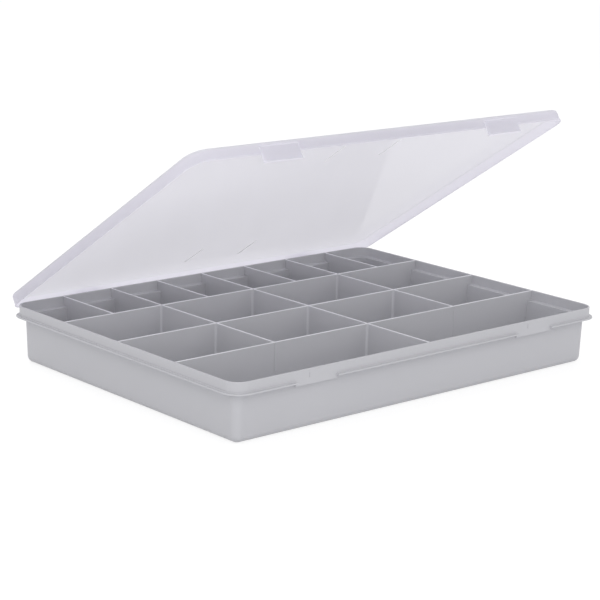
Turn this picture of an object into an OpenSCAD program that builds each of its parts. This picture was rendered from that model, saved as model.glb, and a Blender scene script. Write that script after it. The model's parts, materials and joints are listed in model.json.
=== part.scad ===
// Parts sorting tray: a compartment tray with a hinged, see-through lid.
// Origin at the centre of the flat underside, +X to the right along the latch side,
// +Y towards the hinge side, +Z up. Millimetres. The lid is drawn standing open.

/* [Tray] */
// Width over the rim band
tray_w = 420; // [330:5:520]
// Depth over the rim band
tray_d = 310; // [250:5:400]
// Height from underside to rim
tray_h = 52; // [42:0.5:70]
// Wall thickness
wall_t = 1.5; // [1.2:0.1:2.2]
// Floor thickness
floor_t = 1.8; // [1.4:0.1:2.6]
// Corner radius of the flat floor, seen from above
floor_r = 0.8; // [0.5:0.1:12]
// Radius of the outer bottom edge
bottom_r = 6; // [3:0.5:8]
// Draft of the lower wall, in degrees
draft = 2; // [1:0.5:2.5]

/* [Rim band] */
// Height of the rim band above the ledge
band_h = 9; // [7:0.5:12]
// How far the lower wall stands in from the band
step_in = 5.5; // [4:0.5:6.5]
// How far the flange stands out from the band
flange_out = 3; // [2.6:0.1:5]
// Thickness of the flange and ledge
flange_t = 1.4; // [1:0.1:2]
// Rounding of the rim's top edge
rim_round = 0.5; // [0.3:0.1:0.6]

/* [Compartments] */
// Rows of compartments, front to back
rows = 4; // [4:1:4]
// Columns in the middle rows
columns = 4; // [4:1:4]
// Small compartments per column in the back row
fine_cells = 2; // [2:1:2]
// Thickness of the dividers
divider_t = 1.4; // [1:0.1:2]
// How far the dividers stop below the rim
divider_drop = 0.2; // [0:0.1:1]

/* [Lid] */
// Angle that the lid stands open
lid_open = 32.8; // [0:0.2:180]
// Thickness of the lid panel
lid_t = 1.4; // [1:0.1:2]
// Thickness of the lid skirt
skirt_t = 1.3; // [1:0.1:2]
// Gap between the skirt and the band that it closes round
lid_fit = 1; // [0.7:0.1:1.4]
// Gap between the rim and the underside of the lid
lid_gap = 0.8; // [0.3:0.1:1.5]
// Gap between the skirt and the flange that it stops above
skirt_gap = 0.35; // [0.3:0.05:0.8]
// Radius of the lid's outer edge
lid_edge_r = 2.5; // [1.5:0.5:4]
// How far the skirt's bottom lip stands out
lip_out = 0.5; // [0.3:0.1:0.7]
// Height of the skirt's bottom lip
lip_h = 1.3; // [0.8:0.1:2]
// Length of each short rib under the lid
rib_len = 32; // [20:1:45]
// Distance of the ribs from the lid's middle
rib_x = 32; // [20:1:45]
// Thickness of the ribs
rib_t = 1.2; // [0.8:0.1:2]
// Height of the ribs
rib_h = 0.7; // [0.4:0.1:0.8]
// Distance from the skirt to the outer end of a rib
rib_set = 28; // [16:1:34]

/* [Latches] */
// Distance of each latch from the middle
latch_x = 127; // [100:1:140]
// Width of a latch seat on the tray
latch_w = 43; // [34:1:52]
// How far a latch seat reaches below the flange
seat_drop = 2.4; // [1.5:0.1:4]
// Width left free at each side of a latch tab
tab_side = 1.5; // [0.5:0.1:3]
// Thickness of a latch tab
tab_t = 1.6; // [1.2:0.1:2.2]
// Height of the tab's root below the lid's top
tab_root = 4; // [3.5:0.5:5]
// How far the tab reaches below its seat
tab_drop = 3; // [2:0.5:4]
// Gap round the tab and at its hook
tab_gap = 0.35; // [0.3:0.05:0.6]
// Height of the hook's flat face
hook_h = 1; // [0.8:0.1:1.4]
// How far the tab's finger lip stands out
tab_lip = 1.8; // [1:0.1:3]

/* [Hinges] */
// Distance of each hinge from the middle
hinge_x = 128; // [100:1:140]
// Distance of the pin behind the flange
pin_back = 4.5; // [4.4:0.1:6]
// Height of the pin above the flange
pin_up = 0.5; // [0:0.1:1]
// Radius of the hinge pin
pin_r = 2; // [1.6:0.1:2.4]
// Radial running clearance of the pin
pin_fit = 0.05; // [0.02:0.01:0.09]
// Radius of the lid's knuckle
knuckle_r = 3.6; // [3:0.1:4]
// Width of the lid's knuckle
knuckle_w = 20; // [14:1:30]
// Radius of the ears round the pin
ear_r = 4; // [3.4:0.1:4.4]
// Thickness of one ear
ear_t = 3; // [2.4:0.1:4]
// Gap between knuckle and ears
ear_gap = 0.4; // [0.3:0.05:0.8]
// Height of the gusset under each ear
gusset_h = 14; // [9:1:20]
// Thickness of the lid's hinge arm
arm_t = 3.4; // [2.4:0.1:4]

/* [Hidden] */
$fn = 48;
arc_steps = 6;
shelf_z = tray_h - band_h;
divider_top = tray_h - divider_drop;
inner_r = bottom_r - wall_t;
row_pitch = tray_d / rows;
col_pitch = tray_w / columns;
fine_pitch = col_pitch / fine_cells;
row_ys = [for (i = [1 : rows - 1]) i * row_pitch - tray_d / 2];
col_xs = [for (i = [1 : columns - 1]) i * col_pitch - tray_w / 2];
fine_xs = [for (i = [1 : columns * fine_cells - 1]) i * fine_pitch - tray_w / 2];
// How far in from the band the flat floor starts
outer_foot = step_in + bottom_r * cos(draft)
    + (shelf_z - bottom_r + bottom_r * sin(draft)) * tan(draft);
inner_foot = step_in + wall_t + inner_r * cos(draft)
    + (shelf_z - floor_t - inner_r + inner_r * sin(draft)) * tan(draft);
foot_in = max(outer_foot, inner_foot);
rim_r = floor_r + foot_in;

lid_out = lid_fit + skirt_t;
lid_w = tray_w + 2 * lid_out;
lid_d = tray_d + 2 * lid_out;
lid_r = rim_r + lid_out;
lid_under = tray_h + lid_gap;
lid_top = lid_under + lid_t;
skirt_z = shelf_z + skirt_gap;
lid_inner_r = lid_edge_r - skirt_t;
panel_in = lid_edge_r + 2;

seat_z = shelf_z - flange_t - seat_drop;
tab_w = latch_w - 2 * tab_side;
tab_top = lid_top - tab_root;
tab_bottom = seat_z - tab_drop;

pin_y = tray_d / 2 + flange_out + pin_back;
pin_z = shelf_z + pin_up;
ear_x = knuckle_w / 2 + ear_gap;

// Points of an arc about c, from angle a0 to angle a1
function arc(c, r, a0, a1) =
    [for (i = [0 : arc_steps]) let (a = a0 + (a1 - a0) * i / arc_steps)
        c + r * [cos(a), sin(a)]];

// Outside of the lower wall at height z, measured from the band's outer face
function wall_u(z) = -step_in - (shelf_z - z) * tan(draft);

// Inner face of the wall from the floor up to the top of a divider
inner_face = concat(
    arc([-inner_foot, floor_t + inner_r], inner_r, -90, -draft),
    [[-step_in - wall_t, shelf_z], [-wall_t, shelf_z], [-wall_t, divider_top]]);

// Section of the wall. The first number runs outwards from the band's outer face.
module wall_section(flange) {
    polygon(concat(
        [[-foot_in, floor_t], [-foot_in, 0]],
        arc([-outer_foot, bottom_r], bottom_r, -90, -draft),
        [[wall_u(shelf_z - flange_t), shelf_z - flange_t],
         [flange, shelf_z - flange_t], [flange, shelf_z], [0, shelf_z]],
        arc([-rim_round, tray_h - rim_round], rim_round, 0, 90),
        arc([rim_round - wall_t, tray_h - rim_round], rim_round, 90, 180),
        [[-wall_t, shelf_z], [-step_in - wall_t, shelf_z]],
        arc([-inner_foot, floor_t + inner_r], inner_r, -draft, -90)));
}

// Section of the lid's edge. The first number runs outwards from the skirt's outer face.
module lid_section() {
    polygon(concat(
        [[-skirt_t, skirt_z], [lip_out, skirt_z], [lip_out, skirt_z + lip_h],
         [0, skirt_z + lip_h]],
        arc([-lid_edge_r, lid_top - lid_edge_r], lid_edge_r, 0, 90),
        [[-panel_in, lid_top], [-panel_in, lid_under]],
        arc([-skirt_t - lid_inner_r, lid_under - lid_inner_r], lid_inner_r, 90, 0)));
}

// A section drawn out along the side that faces angle turn
module side(turn, span, reach) {
    rotate([0, 0, turn]) translate([reach, 0, 0]) rotate([90, 0, 0])
        linear_extrude(span, center = true) children();
}

// A section turned round the four corners of a w by d outline
module corners(w, d, r) {
    for (q = [[1, 1, 0], [-1, 1, 90], [-1, -1, 180], [1, -1, 270]])
        translate([q[0] * (w / 2 - r), q[1] * (d / 2 - r), 0]) rotate([0, 0, q[2]])
            rotate_extrude(angle = 90) translate([r, 0]) children();
}

module rounded_plate(w, d, r, z0, t) {
    translate([0, 0, z0]) linear_extrude(t) {
        square([w - 2 * r, d], center = true);
        square([w, d - 2 * r], center = true);
        for (x = [-1, 1], y = [-1, 1])
            translate([x * (w / 2 - r), y * (d / 2 - r)]) circle(r);
    }
}

// Turns the closed lid's pieces up about the hinge pins
module opened() {
    translate([0, pin_y, pin_z]) rotate([-lid_open, 0, 0])
        translate([0, -pin_y, -pin_z]) children();
}

// A piece drawn in the Y-Z plane, spread from x - w / 2 to x + w / 2
module across(x, w) {
    translate([x, 0, 0]) rotate([90, 0, 90]) linear_extrude(w, center = true) children();
}

module tray_floor() {
    color("silver")
        rounded_plate(tray_w - 2 * foot_in, tray_d - 2 * foot_in, rim_r - foot_in, 0, floor_t);
}

// The front wall's flange stops short of the two latch seats
module front_wall() {
    color("silver") {
        side(-90, tray_w - 2 * rim_r, tray_d / 2) wall_section(0);
        difference() {
            side(-90, tray_w - 2 * rim_r, tray_d / 2) wall_section(flange_out);
            for (x = [-latch_x, latch_x])
                translate([x - latch_w / 2, -tray_d / 2 - 2 * flange_out, 0])
                    cube([latch_w, 2 * flange_out, tray_h]);
        }
    }
}

module back_wall() {
    color("silver") side(90, tray_w - 2 * rim_r, tray_d / 2) wall_section(flange_out);
}

module left_wall() {
    color("silver") side(180, tray_d - 2 * rim_r, tray_w / 2) wall_section(flange_out);
}

module right_wall() {
    color("silver") side(0, tray_d - 2 * rim_r, tray_w / 2) wall_section(flange_out);
}

module tray_corners() {
    color("silver") corners(tray_w, tray_d, rim_r) wall_section(flange_out);
}

// A divider that crosses the whole tray at depth y
module row_divider(y) {
    right_end = [for (p = inner_face) [tray_w / 2 + p[0], p[1]]];
    left_end = [for (i = [len(inner_face) - 1 : -1 : 0])
        [-tray_w / 2 - inner_face[i][0], inner_face[i][1]]];
    color("lightgray") translate([0, y, 0]) rotate([90, 0, 0])
        linear_extrude(divider_t, center = true) polygon(concat(right_end, left_end));
}

// A divider between two row dividers, from row i to row i + 1
module cross_divider(x, i) {
    color("lightgray") across(x, divider_t)
        translate([row_ys[i] + divider_t / 2, floor_t])
            square([row_pitch - divider_t, divider_top - floor_t]);
}

// A divider between the last row divider and the wall on side s, front -1 or back 1
module end_divider(x, s) {
    near = row_ys[s > 0 ? rows - 2 : 0] + s * divider_t / 2;
    color("lightgray") across(x, divider_t)
        polygon(concat([[near, divider_top], [near, floor_t]],
                       [for (p = inner_face) [s * (tray_d / 2 + p[0]), p[1]]]));
}

// A thickened pad that carries the band's face down past the flange, for a latch tab
module latch_seat(x) {
    low = wall_u(seat_z);
    color("silver") across(x, latch_w)
        polygon([for (p = [[low, seat_z], [0, seat_z], [0, shelf_z - flange_t],
                           [wall_u(shelf_z - flange_t), shelf_z - flange_t]])
            [-tray_d / 2 - p[0], p[1]]]);
}

// Two ears with a gusset down the back wall, bored for the hinge pin
module hinge_ears(x) {
    gusset_z = shelf_z - gusset_h;
    under_z = shelf_z - flange_t;
    tip_y = tray_d / 2 + flange_out;
    color("silver") for (s = [-1, 1]) difference() {
        across(x + s * (ear_x + ear_t / 2), ear_t) {
            polygon([[tray_d / 2 + wall_u(gusset_z), gusset_z],
                     [pin_y, pin_z - ear_r], [pin_y - ear_r, pin_z], [pin_y - ear_r, shelf_z],
                     [tip_y, shelf_z], [tip_y, under_z],
                     [tray_d / 2 + wall_u(under_z), under_z]]);
            translate([pin_y, pin_z]) circle(ear_r);
        }
        across(x + s * (ear_x + ear_t / 2), ear_t + 1)
            translate([pin_y, pin_z]) circle(pin_r + pin_fit);
    }
}

module lid_panel() {
    color("aliceblue") opened()
        rounded_plate(lid_w - 2 * panel_in, lid_d - 2 * panel_in, lid_r - panel_in,
                      lid_under, lid_t);
}

// The front skirt has a window round each latch tab
module lid_front_skirt() {
    color("aliceblue") opened() difference() {
        side(-90, lid_w - 2 * lid_r, lid_d / 2) lid_section();
        for (x = [-latch_x, latch_x])
            translate([x - tab_w / 2 - tab_gap, -lid_d / 2 - 2 * lip_out, 0])
                cube([tab_w + 2 * tab_gap, 4 * lip_out + 2 * skirt_t, tab_top + tab_gap]);
    }
}

module lid_back_skirt() {
    color("aliceblue") opened() side(90, lid_w - 2 * lid_r, lid_d / 2) lid_section();
}

module lid_left_skirt() {
    color("aliceblue") opened() side(180, lid_d - 2 * lid_r, lid_w / 2) lid_section();
}

module lid_right_skirt() {
    color("aliceblue") opened() side(0, lid_d - 2 * lid_r, lid_w / 2) lid_section();
}

module lid_corners() {
    color("aliceblue") opened() corners(lid_w, lid_d, lid_r) lid_section();
}

// Two pairs of short ribs on the underside, near the front and the back
module lid_ribs() {
    color("aliceblue") opened()
        for (x = [-rib_x, rib_x], s = [-1, 1])
            translate([x, s * (lid_d / 2 - rib_set - rib_len / 2), lid_under - rib_h / 2])
                cube([rib_t, rib_len, rib_h], center = true);
}

// The lid's arm and knuckle, with the pin that turns in the ears
module hinge_knuckle(x) {
    arm_z = skirt_z + lip_h;
    color("aliceblue") opened() {
        across(x, knuckle_w) {
            polygon([[lid_d / 2, arm_z], [lid_d / 2 + lip_out, arm_z], [pin_y, pin_z],
                     [pin_y, pin_z + knuckle_r], [lid_d / 2, arm_z + arm_t]]);
            translate([pin_y, pin_z]) circle(knuckle_r);
        }
        across(x, knuckle_w + 2 * (ear_gap + ear_t)) translate([pin_y, pin_z]) circle(pin_r);
    }
}

// A snap tab with a hook below the seat and a finger lip
module latch_tab(x) {
    hook_z = seat_z - tab_gap;
    color("aliceblue") opened() across(x, tab_w)
        polygon([for (p = [[lid_fit, tab_top], [lid_fit + tab_t, tab_top],
                           [lid_fit + tab_t, tab_bottom + hook_h],
                           [lid_fit + tab_t + tab_lip, tab_bottom], [lid_fit, tab_bottom],
                           [tab_gap, hook_z - hook_h], [tab_gap, hook_z],
                           [lid_fit, hook_z]])
            [-tray_d / 2 - p[0], p[1]]]);
}

tray_floor();
front_wall();
back_wall();
left_wall();
right_wall();
tray_corners();
row_divider(row_ys[0]);  // row_divider_front
row_divider(row_ys[1]);  // row_divider_middle
row_divider(row_ys[2]);  // row_divider_back
end_divider(col_xs[1], -1);  // front_divider
cross_divider(col_xs[0], 0);  // middle_front_divider_1
cross_divider(col_xs[1], 0);  // middle_front_divider_2
cross_divider(col_xs[2], 0);  // middle_front_divider_3
cross_divider(col_xs[0], 1);  // middle_back_divider_1
cross_divider(col_xs[1], 1);  // middle_back_divider_2
cross_divider(col_xs[2], 1);  // middle_back_divider_3
end_divider(fine_xs[0], 1);  // back_divider_1
end_divider(fine_xs[1], 1);  // back_divider_2
end_divider(fine_xs[2], 1);  // back_divider_3
end_divider(fine_xs[3], 1);  // back_divider_4
end_divider(fine_xs[4], 1);  // back_divider_5
end_divider(fine_xs[5], 1);  // back_divider_6
end_divider(fine_xs[6], 1);  // back_divider_7
latch_seat(-latch_x);  // latch_seat_left
latch_seat(latch_x);  // latch_seat_right
hinge_ears(-hinge_x);  // hinge_ears_left
hinge_ears(hinge_x);  // hinge_ears_right
lid_panel();
lid_front_skirt();
lid_back_skirt();
lid_left_skirt();
lid_right_skirt();
lid_corners();
lid_ribs();
hinge_knuckle(-hinge_x);  // hinge_knuckle_left
hinge_knuckle(hinge_x);  // hinge_knuckle_right
latch_tab(-latch_x);  // latch_tab_left
latch_tab(latch_x);  // latch_tab_right
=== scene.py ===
# %% [markdown]
# # A parts sorting tray with a see-through lid
# The real thing is two mouldings, most likely of polypropylene. The tray is grey and holds
# eighteen compartments. The lid is milky white, hinges along the back and snaps shut at the
# front on two tabs. Both are thin shells of nearly constant thickness, so most of this lesson
# is about drawing one section well and carrying it along a path.

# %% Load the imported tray
import json
import math

import bmesh
import bpy
from mathutils import Matrix, Vector


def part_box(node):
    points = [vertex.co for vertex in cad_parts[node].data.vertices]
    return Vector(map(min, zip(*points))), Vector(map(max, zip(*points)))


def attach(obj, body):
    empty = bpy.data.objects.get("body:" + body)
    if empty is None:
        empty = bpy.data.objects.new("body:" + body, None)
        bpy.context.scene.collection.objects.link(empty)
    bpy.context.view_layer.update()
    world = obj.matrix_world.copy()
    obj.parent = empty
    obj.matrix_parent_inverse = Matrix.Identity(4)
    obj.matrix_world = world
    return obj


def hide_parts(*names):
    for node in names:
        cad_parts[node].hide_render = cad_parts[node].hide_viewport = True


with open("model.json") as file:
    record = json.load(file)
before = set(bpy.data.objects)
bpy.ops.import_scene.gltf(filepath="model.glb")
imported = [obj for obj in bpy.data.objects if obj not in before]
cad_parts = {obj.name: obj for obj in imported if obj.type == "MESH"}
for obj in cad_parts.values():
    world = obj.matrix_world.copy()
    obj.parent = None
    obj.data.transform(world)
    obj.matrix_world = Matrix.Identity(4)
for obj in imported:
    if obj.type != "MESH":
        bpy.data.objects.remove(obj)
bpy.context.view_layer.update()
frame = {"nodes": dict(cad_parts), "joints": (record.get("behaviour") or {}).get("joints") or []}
MM = 0.001
helpers = []  # drawings and cutters that are removed once every piece is made


def placed(mesh, name, helper=False):
    """Turns a bmesh into an object of the scene. A helper is hidden and removed later."""
    made = bpy.data.objects.new(name, bpy.data.meshes.new(name))
    mesh.to_mesh(made.data)
    mesh.free()
    bpy.context.scene.collection.objects.link(made)
    if helper:
        made.hide_render = True
        helpers.append(made)
    return made


# %% [markdown]
# ## Sizes
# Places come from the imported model, so that every piece made here sits where its solid does.
# Only what a box can't tell, such as a wall's thickness or a radius, is written as a number.
# In every section below, u runs outwards from the face of the rim band and z runs up.

# %% Sizes of the tray
WALL, FLANGE_OUT, FLANGE_T = 1.5 * MM, 3.0 * MM, 1.4 * MM
STEP_IN, BAND_H = 5.5 * MM, 9.0 * MM
BOTTOM_R, INNER_R, DRAFT = 6.0 * MM, 4.5 * MM, math.radians(2)
SUNK = 0.3 * MM  # how far a piece reaches into its neighbour, so that no crack shows
CUT_SPARE = 1 * MM  # how far a cutter reaches beyond what it cuts

floor_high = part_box("tray_floor")[1]
FLOOR_T = floor_high.z
HALF_W = -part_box("left_wall")[0].x - FLANGE_OUT
HALF_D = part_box("back_wall")[1].y - FLANGE_OUT
RIM_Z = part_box("back_wall")[1].z
FOOT_IN = HALF_W - floor_high.x
RIM_R = HALF_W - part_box("back_wall")[1].x
SHELF_Z = RIM_Z - BAND_H
DIVIDER_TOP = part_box("row_divider_front")[1].z
print(f"rim {2 * HALF_W:.3f} by {2 * HALF_D:.3f} m, corner radius {RIM_R:.4f} m")

# %% Sizes of the lid, as it lies shut
hinge = next(j for j in frame["joints"] if j["name"] == "lid_hinge")
PIN = Vector(hinge["pos_m"])
OPENED = (
    Matrix.Translation(PIN)
    @ Matrix.Rotation(math.radians(hinge["range_deg"][0]), 4, "X")
    @ Matrix.Translation(-PIN)
)
LID_T, SKIRT_T, LID_FIT, LID_GAP = 1.4 * MM, 1.3 * MM, 1.0 * MM, 0.8 * MM
LIP_OUT, LIP_H, LID_EDGE_R = 0.5 * MM, 1.3 * MM, 2.5 * MM
LID_U = LID_FIT + SKIRT_T
LID_UNDER = RIM_Z + LID_GAP
LID_TOP = LID_UNDER + LID_T
SKIRT_Z = SHELF_Z + 0.35 * MM
PANEL_IN = LID_EDGE_R + 2 * MM
print("lid opens by", round(-hinge["range_deg"][0], 2), "degrees about", tuple(PIN))

# %% [markdown]
# ## Plastic for the tray
# Moulded polypropylene is satin: the mould's fine spark finish leaves a grain far smaller than
# a millimetre, and the melt leaves slow, faint changes of tone where it flowed. Noise textures
# on Object coordinates give the grain, the tone and an uneven gloss, and stay put on the piece
# from any side. The row dividers also have faint upright lines, like the sink marks that form
# opposite the dividers of the middle rows. Their pitch is even, so a folded ramp can draw
# them. The dividers' top edges catch the light as pale lines, so their colour is painted paler
# towards the top: a painted highlight.


# %% A satin moulded plastic
POLYPROPYLENE_IOR = 1.49
# Depths below a divider's top where its painted highlight begins and where it is full
HIGHLIGHT_FROM, HIGHLIGHT_FULL = 0.6 * MM, 0.3 * MM  # below a divider's top
SINK_HALF = 0.9 * MM  # half the width of a sink line


def emptied(owner):
    """Clears the node tree of a material or world. Returns a node adder and a linker for it."""
    owner.use_nodes = True
    tree = owner.node_tree
    tree.nodes.clear()

    def add(kind, **settings):
        node = tree.nodes.new(kind)
        for key, value in settings.items():
            if key in node.inputs:
                node.inputs[key].default_value = value
            else:
                setattr(node, key, value)
        return node

    return add, tree.links.new


def ramp(add, link, value, low, high):
    """Maps a 0 to 1 value to the range low to high."""
    node = add("ShaderNodeMapRange")
    node.inputs["To Min"].default_value = low
    node.inputs["To Max"].default_value = high
    link(value, node.inputs["Value"])
    return node.outputs["Result"]


def fade(add, link, value, start, end, **settings):
    """0 where value is at start and 1 where it is at end."""
    node = add("ShaderNodeMapRange", **settings)
    node.inputs["From Min"].default_value = start
    node.inputs["From Max"].default_value = end
    link(value, node.inputs["Value"])
    return node.outputs["Result"]


def blend(add, link, first, second, factor):
    """A colour between two others, each written out or taken from a socket."""
    node = add("ShaderNodeMix", data_type="RGBA")
    sockets = [s for s in node.inputs if s.type == "RGBA"]
    for socket, colour in zip(sockets, (first, second)):
        if isinstance(colour, bpy.types.NodeSocket):
            link(colour, socket)
        else:
            socket.default_value = (*colour, 1)
    link(factor, node.inputs["Factor"])
    return next(s for s in node.outputs if s.type == "RGBA")


def moulded_plastic(name, light, dark, rough, sink_pitch=None, highlight_z=None):
    """Satin plastic: slow changes of tone, uneven gloss, fine grain, and a painted highlight below
    highlight_z.
    """
    material = bpy.data.materials.new(name)
    add, link = emptied(material)
    place = add("ShaderNodeTexCoord")
    flow = add("ShaderNodeTexNoise", Scale=9.0, Detail=3.0, Roughness=0.55)
    fine = add("ShaderNodeTexNoise", Scale=2600.0, Detail=2.0, Roughness=0.6)
    patch = add("ShaderNodeTexNoise", Scale=55.0, Detail=4.0, Roughness=0.6)
    for noise in (flow, fine, patch):
        link(place.outputs["Object"], noise.inputs["Vector"])
    axes = add("ShaderNodeSeparateXYZ")
    link(place.outputs["Object"], axes.inputs["Vector"])
    shader = add("ShaderNodeBsdfPrincipled", IOR=POLYPROPYLENE_IOR)
    colour = blend(add, link, dark, light, flow.outputs["Fac"])
    # Painted highlight: the colour turns paler just below highlight_z.
    if highlight_z:
        top_highlight_mask = fade(add, link, axes.outputs["Z"], highlight_z - HIGHLIGHT_FROM, highlight_z - HIGHLIGHT_FULL)
        colour = blend(add, link, colour, TOP_HIGHLIGHT_COLOUR, top_highlight_mask)
    link(colour, shader.inputs["Base Color"])
    gloss = ramp(add, link, patch.outputs["Fac"], rough - 0.06, rough + 0.06)
    link(gloss, shader.inputs["Roughness"])
    bump = add("ShaderNodeBump", Strength=0.05, Distance=0.0002)
    link(fine.outputs["Fac"], bump.inputs["Height"])
    link(bump.outputs["Normal"], shader.inputs["Normal"])
    if sink_pitch:
        fold = add("ShaderNodeMath", operation="PINGPONG")
        fold.inputs[1].default_value = sink_pitch / 2
        link(axes.outputs["X"], fold.inputs[0])
        line = fade(add, link, fold.outputs[0], 0, SINK_HALF, interpolation_type="SMOOTHSTEP")
        sink = add("ShaderNodeBump", Strength=0.6, Distance=0.0006)
        link(line, sink.inputs["Height"])
        link(bump.outputs["Normal"], sink.inputs["Normal"])
        link(sink.outputs["Normal"], shader.inputs["Normal"])
    out = add("ShaderNodeOutputMaterial")
    link(shader.outputs["BSDF"], out.inputs["Surface"])
    return material


GREY = ((0.520, 0.520, 0.547), (0.500, 0.500, 0.527))
# Lighter grey of the corner fillets: a painted highlight.
FILLET_HIGHLIGHT_GREY = ((0.57, 0.57, 0.60), (0.55, 0.55, 0.58))
# Paler colour painted on the dividers' tops: a painted highlight.
TOP_HIGHLIGHT_COLOUR = (0.76, 0.76, 0.80)
SATIN = 0.42
COLUMN_PITCH = HALF_W / 2  # of the dividers in the middle rows
tray_plastic = moulded_plastic("tray_polypropylene", *GREY, SATIN)
divider_plastic = moulded_plastic("tray_polypropylene_dividers", *GREY, SATIN, highlight_z=DIVIDER_TOP)
row_plastic = moulded_plastic(
    "tray_polypropylene_rows", *GREY, SATIN, sink_pitch=COLUMN_PITCH, highlight_z=DIVIDER_TOP
)
fillet_highlight_plastic = moulded_plastic("tray_polypropylene_fillets", *FILLET_HIGHLIGHT_GREY, 0.36)
print("tray plastics:", [m.name for m in bpy.data.materials if m.name.startswith("tray_poly")])

# %% [markdown]
# ## Plastic for the lid
# The lid is drawn as polypropylene without pigment, which is cloudy because its crystals
# scatter light. Light that falls on top comes out underneath, so the shader is a mix of a
# glossy Principled surface and a Translucent one, which carries light through a thin sheet.
# Below the panel the Translucent part has a second colour, paler and a little bluer than the
# panel's: its paleness is painted light, for the light the skirts catch. The ribs are nearly all
# Translucent and near white, a painted highlight that keeps the shade on their sides from
# showing them as dark lines.


# %% A milky sheet
# Where the skirts' painted light begins and where it is full
SKIRT_FROM, SKIRT_FULL = 0.2 * MM, 2.0 * MM  # below the underside of the shut lid's panel


def milky_plastic(name, colour, through, share, rough, skirt_through=None):
    """Cloudy sheet: share of the light passes through, and the rest shades as a glossy surface."""
    material = bpy.data.materials.new(name)
    add, link = emptied(material)
    place = add("ShaderNodeTexCoord")
    cloud = add("ShaderNodeTexNoise", Scale=7.0, Detail=4.0, Roughness=0.5)
    patch = add("ShaderNodeTexNoise", Scale=40.0, Detail=3.0, Roughness=0.6)
    for noise in (cloud, patch):
        link(place.outputs["Object"], noise.inputs["Vector"])
    shader = add("ShaderNodeBsdfPrincipled", IOR=POLYPROPYLENE_IOR)
    shader.inputs["Base Color"].default_value = (*colour, 1)
    gloss = ramp(add, link, patch.outputs["Fac"], rough - 0.02, rough + 0.02)
    link(gloss, shader.inputs["Roughness"])
    bump = add("ShaderNodeBump", Strength=0.02, Distance=0.0008)
    link(cloud.outputs["Fac"], bump.inputs["Height"])
    link(bump.outputs["Normal"], shader.inputs["Normal"])
    glow = add("ShaderNodeBsdfTranslucent")
    glow.inputs["Color"].default_value = (*through, 1)
    # The skirts' paler, bluer Translucent colour: the paleness is painted light.
    if skirt_through:
        upward = OPENED.to_3x3() @ Vector((0, 0, 1))
        underside = upward.dot(OPENED @ Vector((0, 0, LID_UNDER)))
        below = add("ShaderNodeVectorMath", operation="DOT_PRODUCT")
        link(place.outputs["Object"], below.inputs[0])
        below.inputs[1].default_value = upward
        height = below.outputs["Value"]
        skirt_light_mask = fade(add, link, height, underside - SKIRT_FROM, underside - SKIRT_FULL)
        link(blend(add, link, through, skirt_through, skirt_light_mask), glow.inputs["Color"])
    mix = add("ShaderNodeMixShader")
    link(ramp(add, link, cloud.outputs["Fac"], share - 0.03, share + 0.03), mix.inputs[0])
    link(shader.outputs["BSDF"], mix.inputs[1])
    link(glow.outputs["BSDF"], mix.inputs[2])
    out = add("ShaderNodeOutputMaterial")
    link(mix.outputs["Shader"], out.inputs["Surface"])
    return material


lid_plastic = milky_plastic(
    "lid_polypropylene",
    colour=(0.80, 0.795, 0.835),
    through=(0.885, 0.88, 0.905),
    share=0.77,
    rough=0.04,
    skirt_through=(0.955, 0.945, 0.985),
)
# Near-white ribs, nearly all Translucent: a painted highlight.
rib_highlight_plastic = milky_plastic(
    "lid_polypropylene_ribs",
    colour=(0.97, 0.97, 0.98),
    through=(1.0, 1.0, 1.0),
    share=0.96,
    rough=0.30,
)
print("lid plastics:", lid_plastic.name, rib_highlight_plastic.name)

# %% [markdown]
# ## Drawing a section
# A moulded section is a chain of straight runs with a radius at each corner, so it is written
# as corners, each with its own radius, and one helper rounds them all.


# %% Sections as curves
ARC_STEPS = 8


def rounded(corners, closed=False):
    """Points of a chain of (u, z, radius) corners, each rounded by its own radius."""
    points = []
    count = len(corners)
    for i, (u, z, radius) in enumerate(corners):
        here = Vector((u, z))
        at_end = not closed and i in (0, count - 1)
        if radius == 0 or at_end:
            points.append(here)
            continue
        before = (Vector(corners[i - 1][:2]) - here).normalized()
        after = (Vector(corners[(i + 1) % count][:2]) - here).normalized()
        half = before.angle(after) / 2
        centre = here + (before + after).normalized() * radius / math.sin(half)
        start = here + before * radius / math.tan(half) - centre
        end = here + after * radius / math.tan(half) - centre
        turn = start.angle_signed(end)
        for k in range(ARC_STEPS + 1):
            a = -turn * k / ARC_STEPS
            c, s = math.cos(a), math.sin(a)
            points.append(centre + Vector((start.x * c - start.y * s, start.x * s + start.y * c)))
    return points


def section_curve(name, corners, closed=False):
    """A poly curve for Curve to Mesh, which takes the second axis downwards."""
    points = rounded(corners, closed)
    curve = bpy.data.curves.new(name, "CURVE")
    curve.dimensions = "3D"
    spline = curve.splines.new("POLY")
    spline.points.add(len(points) - 1)
    spline.use_cyclic_u = closed
    for point, (u, z) in zip(spline.points, points):
        point.co = (u, -z, 0, 1)
    drawn = bpy.data.objects.new(name, curve)
    bpy.context.scene.collection.objects.link(drawn)
    drawn.hide_render = True
    helpers.append(drawn)
    print(name, "has", len(points), "points")
    return drawn


def outer_u(z):
    """Outer face of the lower wall at height z."""
    return -STEP_IN - (SHELF_Z - z) * math.tan(DRAFT)


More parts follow.
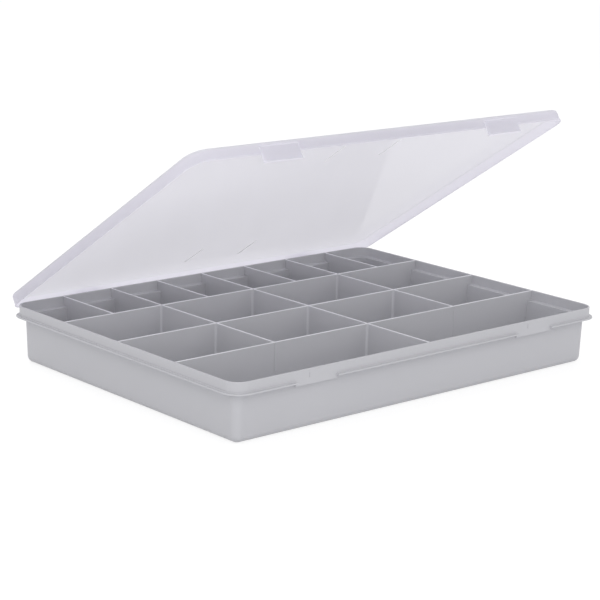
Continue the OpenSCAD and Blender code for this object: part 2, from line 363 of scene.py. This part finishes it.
STEP_R, TOP_EDGE_R = 0.5 * MM, 0.6 * MM
tray_section = section_curve(
    "tray_section",
    [
        (-FOOT_IN, FLOOR_T, 0),
        (outer_u(FLOOR_T) - WALL, FLOOR_T, INNER_R),
        (-STEP_IN - WALL, SHELF_Z, STEP_R),
        (-WALL, SHELF_Z, STEP_R),
        (-WALL, RIM_Z, TOP_EDGE_R),
        (0, RIM_Z, TOP_EDGE_R),
        (0, SHELF_Z, STEP_R),
        (FLANGE_OUT, SHELF_Z, STEP_R),
        (FLANGE_OUT, SHELF_Z - FLANGE_T, STEP_R),
        (outer_u(SHELF_Z - FLANGE_T), SHELF_Z - FLANGE_T, TOP_EDGE_R),
        (outer_u(0), 0, BOTTOM_R),
        (-FOOT_IN, 0, 0),
    ],
)
room_section = section_curve(
    "room_section",
    [
        (-FOOT_IN, FLOOR_T - SUNK, 0),
        (outer_u(FLOOR_T) - WALL + SUNK, FLOOR_T - SUNK, INNER_R),
        (-STEP_IN - WALL + SUNK, SHELF_Z - SUNK, 0),
        (-WALL + SUNK, SHELF_Z - SUNK, 0),
        (-WALL + SUNK, RIM_Z, 0),
        (-FOOT_IN, RIM_Z, 0),
    ],
)

# %% [markdown]
# ## Carrying a section round the rim
# The tray and the lid each keep one section all the way round, through straight sides and
# rounded corners. Geometry Nodes suit that: a rectangle with filleted corners is the path, and
# Curve to Mesh carries the section along it. One tree serves both mouldings, because its
# sizes are inputs. The tree ends in Realize Instances and Set Material, and the result is
# copied out as a plain mesh, which the export can keep.


# %% A tree that carries a section round a rectangle
def new_tree(name, sockets):
    """A geometry node tree with these inputs, a helper that adds nodes, and its two ends."""
    tree = bpy.data.node_groups.new(name, "GeometryNodeTree")
    tree.interface.new_socket("Geometry", in_out="OUTPUT", socket_type="NodeSocketGeometry")
    for label, kind in sockets:
        tree.interface.new_socket(label, in_out="INPUT", socket_type="NodeSocket" + kind)
    start, end = tree.nodes.new("NodeGroupInput"), tree.nodes.new("NodeGroupOutput")

    def add(kind, **links):
        node = tree.nodes.new("GeometryNode" + kind)
        for key in [k for k in links if k.islower()]:
            setattr(node, key, links.pop(key))
        for key, value in links.items():
            socket = node.inputs[key.replace("_", " ")]
            for source in value if isinstance(value, list) else [value]:
                if isinstance(source, bpy.types.NodeSocket):
                    tree.links.new(source, socket)
                else:
                    socket.default_value = source
        return node

    def finish(result):
        realized = add("RealizeInstances", Geometry=result)
        paint = start.outputs["Material"]
        painted = add("SetMaterial", Geometry=realized.outputs[0], Material=paint)
        tree.links.new(painted.outputs[0], end.inputs[0])
        return tree

    return start.outputs, add, finish


def run_tree(name, tree, **values):
    """Runs a tree on an empty mesh and returns what it makes as a plain mesh object."""
    carrier = bpy.data.objects.new(name, bpy.data.meshes.new(name))
    bpy.context.scene.collection.objects.link(carrier)
    modifier = carrier.modifiers.new(name, "NODES")
    modifier.node_group = tree
    for item in tree.interface.items_tree:
        key = item.name.replace(" ", "_").lower()
        if item.in_out == "INPUT" and key in values:
            modifier[item.identifier] = values[key]
    return applied(carrier)


def applied(piece):
    """Turns a piece with modifiers into a plain mesh and drops the modifiers."""
    graph = bpy.context.evaluated_depsgraph_get()
    mesh = bpy.data.meshes.new_from_object(piece.evaluated_get(graph), depsgraph=graph)
    mesh.name = piece.name
    piece.modifiers.clear()
    piece.data = mesh
    return piece


inputs, add, finish = new_tree(
    "section_round_rectangle",
    [
        ("Width", "Float"),
        ("Depth", "Float"),
        ("Corner radius", "Float"),
        ("Corner steps", "Int"),
        ("Section", "Object"),
        ("Material", "Material"),
    ],
)
outline = add("CurvePrimitiveQuadrilateral", Width=inputs["Width"], Height=inputs["Depth"])
turned = add(
    "FilletCurve",
    mode="POLY",
    Curve=outline.outputs[0],
    Count=inputs["Corner steps"],
    Radius=inputs["Corner radius"],
)
drawn = add("ObjectInfo", Object=inputs["Section"])
swept = add("CurveToMesh", Curve=turned.outputs[0], Profile_Curve=drawn.outputs["Geometry"])
round_rectangle = finish(swept.outputs[0])
print(round_rectangle.name, "has", len(round_rectangle.nodes), "nodes")


# %% Closing and cutting a moulding
BEVEL_ABOVE, SMOOTH_BELOW = math.radians(40), math.radians(25)


def close_ends(piece):
    """Fills the open loops of a swept section and turns every face outwards."""
    mesh = bmesh.new()
    mesh.from_mesh(piece.data)
    bmesh.ops.remove_doubles(mesh, verts=mesh.verts, dist=1e-7)
    bmesh.ops.holes_fill(mesh, edges=[e for e in mesh.edges if e.is_boundary], sides=0)
    bmesh.ops.recalc_face_normals(mesh, faces=mesh.faces)
    mesh.to_mesh(piece.data)
    mesh.free()
    return piece


def block(name, low, high, helper=False):
    """A plain box, used to cut, to join or to be copied."""
    mesh = bmesh.new()
    bmesh.ops.create_cube(mesh, size=1)
    size = [b - a for a, b in zip(low, high)]
    middle = [(a + b) / 2 for a, b in zip(low, high)]
    for v in mesh.verts:
        v.co = [c * s + m for c, s, m in zip(v.co, size, middle)]
    return placed(mesh, name, helper)


def prism(name, outline, move, helper=False):
    """A solid between a flat outline of points and its copy, whose points move() shifts."""
    mesh = bmesh.new()
    face = mesh.faces.new([mesh.verts.new(point) for point in outline])
    for part in bmesh.ops.extrude_face_region(mesh, geom=[face])["geom"]:
        if isinstance(part, bmesh.types.BMVert):
            part.co = move(part.co)
    bmesh.ops.recalc_face_normals(mesh, faces=mesh.faces)
    return placed(mesh, name, helper)


def combine(piece, other, operation):
    """Cuts other from piece, or joins it on, and removes other."""
    modifier = piece.modifiers.new(operation, "BOOLEAN")
    modifier.operation = operation
    modifier.solver = "EXACT"
    modifier.object = other
    applied(piece)
    bpy.data.objects.remove(other)


def finished(piece, material, body, nodes, bevel=None):
    """Gives a piece its material and shading, puts it under its body, and hides the nodes it
    stands in for.
    """
    if bevel:
        rounding = piece.modifiers.new("edges", "BEVEL")
        rounding.width = bevel
        rounding.segments = 2
        rounding.limit_method = "ANGLE"
        rounding.angle_limit = BEVEL_ABOVE
    applied(piece)
    if bevel:
        # The bevel leaves faces without area where an outline turns only a little.
        mesh = bmesh.new()
        mesh.from_mesh(piece.data)
        bmesh.ops.dissolve_degenerate(mesh, dist=2e-6, edges=mesh.edges)
        mesh.to_mesh(piece.data)
        mesh.free()
    piece.data.shade_smooth()
    piece.data.set_sharp_from_angle(angle=SMOOTH_BELOW)
    weighted = piece.modifiers.new("flat_faces_stay_flat", "WEIGHTED_NORMAL")
    weighted.keep_sharp = True
    weighted.weight = 100
    applied(piece)
    piece.data.materials.clear()
    piece.data.materials.append(material)
    for face in piece.data.polygons:
        face.material_index = 0
    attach(piece, body)
    if nodes:
        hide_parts(*nodes)
    print(piece.name, len(piece.data.polygons), "faces, for", len(nodes), "nodes")


# %% [markdown]
# ## The tray's shell
# Floor, walls, rim band and flange are one skin. The flange is the ledge that the lid's skirt
# comes down to. In front it stops at two latch seats, where the band runs on down so that the
# tab's hook has a firm edge to catch. Each seat also has a short upright bar beside its middle.

# %% The shell with its latch seats
shell = close_ends(
    run_tree(
        "tray_shell",
        round_rectangle,
        width=2 * HALF_W,
        depth=2 * HALF_D,
        corner_radius=RIM_R,
        corner_steps=20,
        section=tray_section,
        material=tray_plastic,
    )
)
SEATS = ["latch_seat_left", "latch_seat_right"]
BAR_ASIDE, BAR_HALF, BAR_PROUD = 7 * MM, 0.4 * MM, 0.3 * MM
BAR_FROM, BAR_TO = SHELF_Z + 2 * MM, SHELF_Z + 6.5 * MM
PAD_INTO, PAD_UNDER = 1.2 * MM, 0.4 * MM
front_y = -HALF_D
for name in SEATS:
    low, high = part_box(name)
    flange_cut = block(
        "flange_cut",
        (low.x, front_y - 2 * FLANGE_OUT, SHELF_Z - FLANGE_T - CUT_SPARE),
        (high.x, front_y, SHELF_Z + CUT_SPARE),
    )
    combine(shell, flange_cut, "DIFFERENCE")
    pad = block(
        "pad",
        (low.x, front_y, low.z),
        (high.x, front_y + STEP_IN + PAD_INTO, SHELF_Z - PAD_UNDER),
    )
    combine(shell, pad, "UNION")
    bar_x = (low.x + high.x) / 2 - BAR_ASIDE
    bar = block(
        "bar",
        (bar_x - BAR_HALF, front_y - BAR_PROUD, BAR_FROM),
        (bar_x + BAR_HALF, front_y + BAR_PROUD, BAR_TO),
    )
    combine(shell, bar, "UNION")
WALLS = ["front_wall", "back_wall", "left_wall", "right_wall"]
SHELL_NODES = ["tray_floor", "tray_corners", *WALLS, *SEATS]
finished(shell, tray_plastic, "tray", SHELL_NODES)

# %% [markdown]
# ## The dividers
# A divider is moulded with the tray, so it thins a little towards its top, which is rounded,
# and it flares into the floor. That section runs straight from one end to the other. Where it
# meets a wall it has to follow the step under the rim band. Rather than shape each end, the
# tree lets it run long and keeps only what lies in the tray's room, grown by a hair.

# %% A tree for a divider
TOP_HALF, BASE_HALF, TOP_R = 0.7 * MM, 0.85 * MM, 0.25 * MM
FLARE, FLARE_LEAN = 1.0 * MM, 0.02 * MM
divider_corners = [
    (BASE_HALF + FLARE, FLOOR_T - SUNK, 0),
    (BASE_HALF, FLOOR_T, 0),
    (BASE_HALF - FLARE_LEAN, FLOOR_T + FLARE, 0),
    (TOP_HALF, DIVIDER_TOP, TOP_R),
    (-TOP_HALF, DIVIDER_TOP, TOP_R),
    (-BASE_HALF + FLARE_LEAN, FLOOR_T + FLARE, 0),
    (-BASE_HALF, FLOOR_T, 0),
    (-BASE_HALF - FLARE, FLOOR_T - SUNK, 0),
]
divider_section = section_curve("divider_section", divider_corners, closed=True)
room = close_ends(
    run_tree(
        "room",
        round_rectangle,
        width=2 * HALF_W,
        depth=2 * HALF_D,
        corner_radius=RIM_R,
        corner_steps=8,
        section=room_section,
        material=tray_plastic,
    )
)
helpers.append(room)

inputs, add, finish = new_tree(
    "divider_in_room",
    [
        ("Start", "Vector"),
        ("End", "Vector"),
        ("Section", "Object"),
        ("Room", "Object"),
        ("Material", "Material"),
    ],
)
run = add("CurvePrimitiveLine", Start=inputs["Start"], End=inputs["End"])
profile = add("ObjectInfo", Object=inputs["Section"])
bar = add(
    "CurveToMesh",
    Curve=run.outputs[0],
    Profile_Curve=profile.outputs["Geometry"],
    Fill_Caps=True,
)
inside = add("ObjectInfo", Object=inputs["Room"])
kept = add(
    "MeshBoolean",
    operation="INTERSECT",
    solver="EXACT",
    Mesh_2=[bar.outputs[0], inside.outputs["Geometry"]],
)
divider_tree = finish(kept.outputs[0])
print(divider_tree.name, "has", len(divider_tree.nodes), "nodes")

# %% Every divider from its own solid's box
RUN_ON = 2 * MM  # how far a row divider runs on before the room cuts it
row_names = sorted(n for n in frame["nodes"] if n.startswith("row_divider"))
cross_names = sorted(n for n in frame["nodes"] if "_divider" in n and n not in row_names)
for name in row_names + cross_names:
    low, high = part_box(name)
    middle = (low + high) / 2
    if name in row_names:
        start, end = (low.x - RUN_ON, middle.y, 0), (high.x + RUN_ON, middle.y, 0)
        plastic = row_plastic
    else:
        start, end = (middle.x, low.y - SUNK, 0), (middle.x, high.y + SUNK, 0)
        plastic = divider_plastic
    divider = run_tree(
        name + "_wall",
        divider_tree,
        start=start,
        end=end,
        section=divider_section,
        room=room,
        material=plastic,
    )
    finished(close_ends(divider), plastic, "tray", [name])

# %% [markdown]
# ## Fillets where dividers meet
# A mould can't be cut to a knife edge inside a corner, so each upright corner between two
# dividers has a small radius. It catches the light as a thin pale line, so its grey is painted a
# little lighter: a painted highlight.
# There are dozens, all the same: one post is placed on points that carry its turn.

# %% Corner posts on points
POST_R, POST_SUNK, POST_TAPER, POST_STEPS = 2.4 * MM, 0.25 * MM, 0.8, 6
POST_BELOW_TOP = 0.7 * MM
post_height = DIVIDER_TOP - POST_BELOW_TOP - FLOOR_T
outline = [(-POST_SUNK, -POST_SUNK, 0), (POST_R, -POST_SUNK, 0)]
for k in range(POST_STEPS + 1):
    a = math.radians(-90 - 90 * k / POST_STEPS)
    outline.append((POST_R + POST_R * math.cos(a), POST_R + POST_R * math.sin(a), 0))
outline.append((-POST_SUNK, POST_R, 0))
post = prism(
    "corner_post",
    outline,
    lambda p: Vector((p.x * POST_TAPER, p.y * POST_TAPER, p.z + post_height)),
    helper=True,
)
places, turns = [], []
for name in cross_names:
    low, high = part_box(name)
    for y, way in ((low.y, 1), (high.y, -1)):
        if abs(y) > HALF_D - 2 * WALL:
            continue
        x = (low.x + high.x) / 2
        places += [(x + TOP_HALF, y, FLOOR_T), (x - TOP_HALF, y, FLOOR_T)]
        turns += [0 if way > 0 else -90, 90 if way > 0 else 180]
points = bpy.data.meshes.new("post_places")
points.from_pydata(places, [], [])
turn = points.attributes.new("turn", "FLOAT_VECTOR", "POINT")
turn.data.foreach_set("vector", [v for t in turns for v in (0, 0, math.radians(t))])
post_places = bpy.data.objects.new("post_places", points)
bpy.context.scene.collection.objects.link(post_places)
helpers.append(post_places)

inputs, add, finish = new_tree(
    "posts_on_points", [("Places", "Object"), ("Post", "Object"), ("Material", "Material")]
)
spots = add("ObjectInfo", Object=inputs["Places"])
shape = add("ObjectInfo", Object=inputs["Post"])
angle = add("InputNamedAttribute", data_type="FLOAT_VECTOR", Name="turn")
set_out = add(
    "InstanceOnPoints",
    Points=spots.outputs["Geometry"],
    Instance=shape.outputs["Geometry"],
    Rotation=angle.outputs["Attribute"],
)
posts_tree = finish(set_out.outputs[0])
fillets = run_tree(
    "divider_fillets", posts_tree, places=post_places, post=post, material=fillet_highlight_plastic
)
finished(fillets, fillet_highlight_plastic, "tray", [])
print(len(places), "fillets")

# %% [markdown]
# ## The lid
# The lid is a shallow tray upside down: a flat panel, a rounded edge and a skirt that ends in a
# small bead. It is drawn shut, where its sections are upright, and turned up about the hinge
# pin at the end, in the mesh itself. Two windows in front leave room for the latch tabs.

# %% The lid's shell
lid_section = section_curve(
    "lid_section",
    [
        (LID_U - PANEL_IN, LID_UNDER, 0),
        (LID_U - SKIRT_T, LID_UNDER, LID_EDGE_R - SKIRT_T),
        (LID_U - SKIRT_T, SKIRT_Z, 0.35 * MM),
        (LID_U + LIP_OUT, SKIRT_Z, 0.45 * MM),
        (LID_U + LIP_OUT, SKIRT_Z + LIP_H, 0.45 * MM),
        (LID_U, SKIRT_Z + LIP_H, 0.3 * MM),
        (LID_U, LID_TOP, LID_EDGE_R),
        (LID_U - PANEL_IN, LID_TOP, 0),
    ],
)
lid = close_ends(
    run_tree(
        "lid_shell",
        round_rectangle,
        width=2 * HALF_W,
        depth=2 * HALF_D,
        corner_radius=RIM_R,
        corner_steps=20,
        section=lid_section,
        material=lid_plastic,
    )
)
TABS = ["latch_tab_left", "latch_tab_right"]
TAB_GAP, TAB_ROOT, TAB_T = 0.35 * MM, 4.0 * MM, 1.6 * MM
for name in TABS:
    low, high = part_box(name)
    window = block(
        "window",
        (low.x - TAB_GAP, front_y - LID_U - CUT_SPARE, 0),
        (high.x + TAB_GAP, front_y - LID_FIT + CUT_SPARE, LID_TOP - TAB_ROOT + TAB_GAP),
    )
    combine(lid, window, "DIFFERENCE")


def open_up(piece):
    """Turns a piece of the shut lid up to where the lid stands."""
    piece.data.transform(OPENED)
    return piece


SKIRTS = [f"lid_{side}_skirt" for side in ("front", "back", "left", "right")]
LID_NODES = ["lid_panel", "lid_corners", *SKIRTS]
finished(open_up(lid), lid_plastic, "lid", LID_NODES)

# %% Four ribs under the panel
inputs, add, finish = new_tree(
    "ribs_under_panel",
    [
        ("Spread X", "Float"),
        ("Spread Y", "Float"),
        ("Rib", "Object"),
        ("Material", "Material"),
    ],
)
grid = add(
    "MeshGrid",
    Size_X=inputs["Spread X"],
    Size_Y=inputs["Spread Y"],
    Vertices_X=2,
    Vertices_Y=2,
)
rib_shape = add("ObjectInfo", Object=inputs["Rib"])
laid = add("InstanceOnPoints", Points=grid.outputs[0], Instance=rib_shape.outputs["Geometry"])
rib_tree = finish(laid.outputs[0])
RIB_X, RIB_SET = 32 * MM, 28 * MM
RIB_LEN, RIB_T, RIB_H = 32 * MM, 1.2 * MM, 0.35 * MM
rib_y = HALF_D + LID_U - RIB_SET - RIB_LEN / 2
rib = block(
    "rib",
    (-RIB_T / 2, -RIB_LEN / 2, LID_UNDER - RIB_H),
    (RIB_T / 2, RIB_LEN / 2, LID_UNDER + SUNK),
    helper=True,
)
ribs = run_tree(
    "lid_rib_set",
    rib_tree,
    spread_x=2 * RIB_X,
    spread_y=2 * rib_y,
    rib=rib,
    material=rib_highlight_plastic,
)
finished(open_up(ribs), rib_highlight_plastic, "lid", ["lid_ribs"], bevel=0.25 * MM)

# %% [markdown]
# ## Latch tabs
# Each tab hangs from the skirt and has a hook behind and a small lip below. Its outline is
# drawn once, from the side, and drawn out to the tab's width.

# %% Tabs drawn from the side
TAB_DROP, HOOK_H, TAB_LIP = 3.0 * MM, 1.0 * MM, 1.8 * MM
seat_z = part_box("latch_seat_left")[0].z
tab_bottom = seat_z - TAB_DROP
hook_z = seat_z - TAB_GAP
tab_corners = [
    (LID_FIT, LID_TOP - TAB_ROOT, 0.2 * MM),
    (LID_FIT + TAB_T, LID_TOP - TAB_ROOT, 0.6 * MM),
    (LID_FIT + TAB_T, tab_bottom + HOOK_H, 0.8 * MM),
    (LID_FIT + TAB_T + TAB_LIP, tab_bottom, 0.2 * MM),
    (LID_FIT, tab_bottom, 0.5 * MM),
    (TAB_GAP, hook_z - HOOK_H, 0.3 * MM),
    (TAB_GAP, hook_z, 0.2 * MM),
    (LID_FIT, hook_z, 0.4 * MM),
]
tab_outline = [(front_y - u, z) for u, z in rounded(tab_corners, closed=True)]
for name in TABS:
    low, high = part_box(name)
    outline = [(low.x, y, z) for y, z in tab_outline]
    tab = prism(name + "_snap", outline, lambda p: Vector((high.x, p.y, p.z)))
    finished(open_up(tab), lid_plastic, name, [name], bevel=0.3 * MM)

# %% [markdown]
# ## The hinge
# Two knuckles on the lid carry pins that turn in pairs of ears on the tray. Their solids
# already have the right shape, so a merged copy of each gets its sharp edges rounded.


# %% Hinge pieces from their solids
def softened_copy(node, name):
    """A welded copy of a CAD node's mesh, with flat areas as single faces."""
    mesh = bmesh.new()
    mesh.from_mesh(frame["nodes"][node].data)
    bmesh.ops.remove_doubles(mesh, verts=mesh.verts, dist=1e-6)
    bmesh.ops.dissolve_limit(
        mesh, angle_limit=math.radians(1), verts=mesh.verts, edges=mesh.edges
    )
    return placed(mesh, name)


HINGE_EDGE = 0.3 * MM
for side in ("left", "right"):
    node = f"hinge_ears_{side}"
    ears = softened_copy(node, node + "_pair")
    finished(ears, tray_plastic, "tray", [node], bevel=HINGE_EDGE)
    node = f"hinge_knuckle_{side}"
    knuckle = softened_copy(node, node + "_pin")
    finished(knuckle, lid_plastic, "lid", [node], bevel=HINGE_EDGE)

for helper in helpers:
    bpy.data.objects.remove(helper)

# %% [markdown]
# ## Floor, light and camera
# A pale floor and an even white sky light the plastic at about the level its colour is
# written. Camera, glossy and transmission rays see plain white, so that the background is
# white while the floor still keeps the soft shadow under the tray.


# %% Floor and sky
def seen_white(add, link, shader, white, share):
    """Mixes a share of plain white in front of shader for rays that look rather than light."""
    path = add("ShaderNodeLightPath")
    looks = add("ShaderNodeMath", operation="MAXIMUM")
    more = add("ShaderNodeMath", operation="MAXIMUM")
    link(path.outputs["Is Camera Ray"], looks.inputs[0])
    link(path.outputs["Is Glossy Ray"], looks.inputs[1])
    link(looks.outputs[0], more.inputs[0])
    link(path.outputs["Is Transmission Ray"], more.inputs[1])
    scaled = add("ShaderNodeMath", operation="MULTIPLY")
    link(more.outputs[0], scaled.inputs[0])
    scaled.inputs[1].default_value = share
    mix = add("ShaderNodeMixShader")
    link(scaled.outputs[0], mix.inputs[0])
    link(shader, mix.inputs[1])
    link(white, mix.inputs[2])
    return mix.outputs["Shader"]


FLOOR_REACH, FLOOR_BELOW = 8, 0.2 * MM
floor_material = bpy.data.materials.new("pale_floor")
add, link = emptied(floor_material)
paint = add("ShaderNodeBsdfDiffuse", Color=(0.86, 0.86, 0.87, 1))
glow = add("ShaderNodeEmission", Strength=1.15)
surface = seen_white(add, link, paint.outputs["BSDF"], glow.outputs["Emission"], share=0.7)
link(surface, add("ShaderNodeOutputMaterial").inputs["Surface"])

mesh = bmesh.new()
bmesh.ops.create_grid(mesh, x_segments=1, y_segments=1, size=FLOOR_REACH)
floor = placed(mesh, "floor")
floor.location.z = -FLOOR_BELOW
floor.data.materials.append(floor_material)

world = bpy.data.worlds.new("white_sky")
bpy.context.scene.world = world
add, link = emptied(world)
lit = add("ShaderNodeBackground", Color=(1, 1, 1, 1), Strength=0.79)
plain = add("ShaderNodeBackground", Color=(1, 1, 1, 1), Strength=1.0)
surface = seen_white(add, link, lit.outputs[0], plain.outputs[0], share=1.0)
link(surface, add("ShaderNodeOutputWorld").inputs["Surface"])


def soft_lamp(name, spot, aim, size, power):
    """A large square lamp at spot that faces aim."""
    light = bpy.data.lights.new(name, "AREA")
    light.size = size
    light.energy = power
    lamp = bpy.data.objects.new(name, light)
    lamp.location = spot
    lamp.rotation_euler = (Vector(aim) - Vector(spot)).to_track_quat("-Z", "Y").to_euler()
    bpy.context.scene.collection.objects.link(lamp)
    lamp.visible_camera = False


soft_lamp("front_softbox", (-1.3, -1.8, 1.05), aim=(0, 0, 0.05), size=1.6, power=15)
soft_lamp("overhead", (0.1, 0.7, 1.9), aim=(0, 0, 0.1), size=1.4, power=8.5)

# %% [markdown]
# The camera stands low, off the front left corner, with a long lens, so that the tray's sides
# stay nearly parallel. It is rolled by about a degree and a half.

# %% Camera
AZIMUTH, ELEVATION, ROLL = map(math.radians, (-41.33, 13.90, 1.456))
TARGET, DISTANCE, LENS = Vector((0.0032, 0.0151, 0.0532)), 1.711, 114.1
back = Vector(
    (
        math.sin(AZIMUTH) * math.cos(ELEVATION),
        -math.cos(AZIMUTH) * math.cos(ELEVATION),
        math.sin(ELEVATION),
    )
)
lens = bpy.data.cameras.new("camera")
lens.lens = LENS
lens.sensor_width = 36
camera = bpy.data.objects.new("camera", lens)
camera.location = TARGET + back * DISTANCE
level = back.to_track_quat("Z", "Y").to_matrix()
camera.rotation_euler = (level @ Matrix.Rotation(ROLL, 3, "Z")).to_euler()
bpy.context.scene.collection.objects.link(camera)
bpy.context.scene.camera = camera
bpy.context.scene.view_settings.view_transform = "Standard"
print("camera at", [round(c, 3) for c in camera.location])
